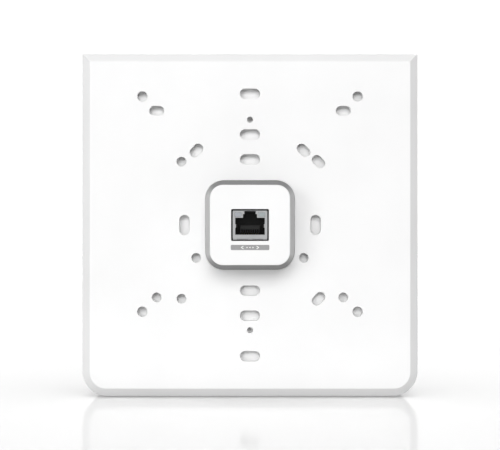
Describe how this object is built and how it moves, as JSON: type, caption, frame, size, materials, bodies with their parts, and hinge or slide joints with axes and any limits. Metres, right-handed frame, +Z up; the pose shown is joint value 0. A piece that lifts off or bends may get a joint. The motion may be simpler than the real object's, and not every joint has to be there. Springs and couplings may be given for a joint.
{
  "type": "wall and junction-box access point",
  "caption": "Square white wireless access point with a mounting plate for wall and ceiling junction boxes and a rear boss that holds a shielded network jack.",
  "frame": {"origin": "centre of the mounting plate's wall face, on the axis of the rear boss", "axes": "+X right as seen from the wall side, +Y out of the wall into the room, +Z up"},
  "size_m": [0.1554, 0.0471, 0.1586],
  "materials": {
    "plate_plastic": "fine matt moulded polycarbonate, white",
    "housing_plastic": "fine matt moulded polycarbonate, white",
    "cover_plastic": "smooth satin white polycarbonate",
    "latch_plastic": "matt acetal, white",
    "spring_steel": "drawn spring steel",
    "jack_metal": "nickel-plated sheet, satin",
    "jack_plastic": "black glass-filled nylon",
    "contact_gold": "gold-plated phosphor bronze",
    "led_window": "translucent diffuse lens",
    "label_ink": null,
    "board_laminate": "black solder mask on glass-epoxy laminate",
    "spreader_aluminium": "die-cast, lightly blasted",
    "can_tin": "tin-plated drawn steel",
    "thermal_pad": "soft filled silicone",
    "antenna_tin": "tin-plated stamped sheet",
    "ferrite": "dark sintered ferrite",
    "black_epoxy": "black moulding compound",
    "capacitor_can": "drawn can",
    "led_epoxy": "clear epoxy",
    "light_guide": "clear polycarbonate with a frosted end",
    "switch_plastic": "black moulded",
    "screw_steel": "zinc-plated steel"
  },
  "bodies": {
    "plate": {"mounting_plate": "plate_plastic"},
    "access_point": {"rear_housing": "housing_plastic", "front_cover": "cover_plastic", "latch_spring": "spring_steel", "jack_shell": "jack_metal", "jack_insert": "jack_plastic", "jack_contact_1": "contact_gold", "jack_contact_2": "contact_gold", "jack_contact_3": "contact_gold", "jack_contact_4": "contact_gold", "jack_contact_5": "contact_gold", "jack_contact_6": "contact_gold", "jack_contact_7": "contact_gold", "jack_contact_8": "contact_gold", "jack_led_left": "led_window", "jack_led_right": "led_window", "port_label": "label_ink", "main_board": "board_laminate", "heat_spreader": "spreader_aluminium", "shield_can_1": "can_tin", "shield_can_2": "can_tin", "shield_can_3": "can_tin", "thermal_pad_1": "thermal_pad", "thermal_pad_2": "thermal_pad", "thermal_pad_3": "thermal_pad", "antenna_1": "antenna_tin", "antenna_2": "antenna_tin", "antenna_3": "antenna_tin", "antenna_4": "antenna_tin", "antenna_5": "antenna_tin", "antenna_6": "antenna_tin", "power_transformer": "ferrite", "power_inductor": "ferrite", "ethernet_magnetics": "black_epoxy", "capacitor_1": "capacitor_can", "capacitor_2": "capacitor_can", "status_led": "led_epoxy", "light_guide": "light_guide", "reset_switch": "switch_plastic", "housing_screw_1": "screw_steel", "housing_screw_2": "screw_steel", "housing_screw_3": "screw_steel", "housing_screw_4": "screw_steel", "board_screw_1": "screw_steel", "board_screw_2": "screw_steel", "board_screw_3": "screw_steel", "board_screw_4": "screw_steel", "board_screw_5": "screw_steel", "board_screw_6": "screw_steel"},
    "latch": {"release_latch": "latch_plastic"},
    "reset": {"reset_button": "latch_plastic", "switch_plunger": "switch_plastic"}
  },
  "joints": [
    {"name": "access_point_slide", "type": "slide", "parent": "plate", "child": "access_point", "axis": [0, 1, 0], "range_m": [0, 0.04]},
    {"name": "latch_press", "type": "slide", "parent": "access_point", "child": "latch", "axis": [0, 0, -1], "range_m": [0, 0.0015], "stiffness_N_per_m": 1500, "springref_m": -0.0006, "deforming": ["latch_spring"]},
    {"name": "reset_press", "type": "slide", "parent": "access_point", "child": "reset", "axis": [0, 0, 1], "range_m": [0, 0.0004], "stiffness_N_per_m": 3000, "springref_m": -0.0002}
  ]
}
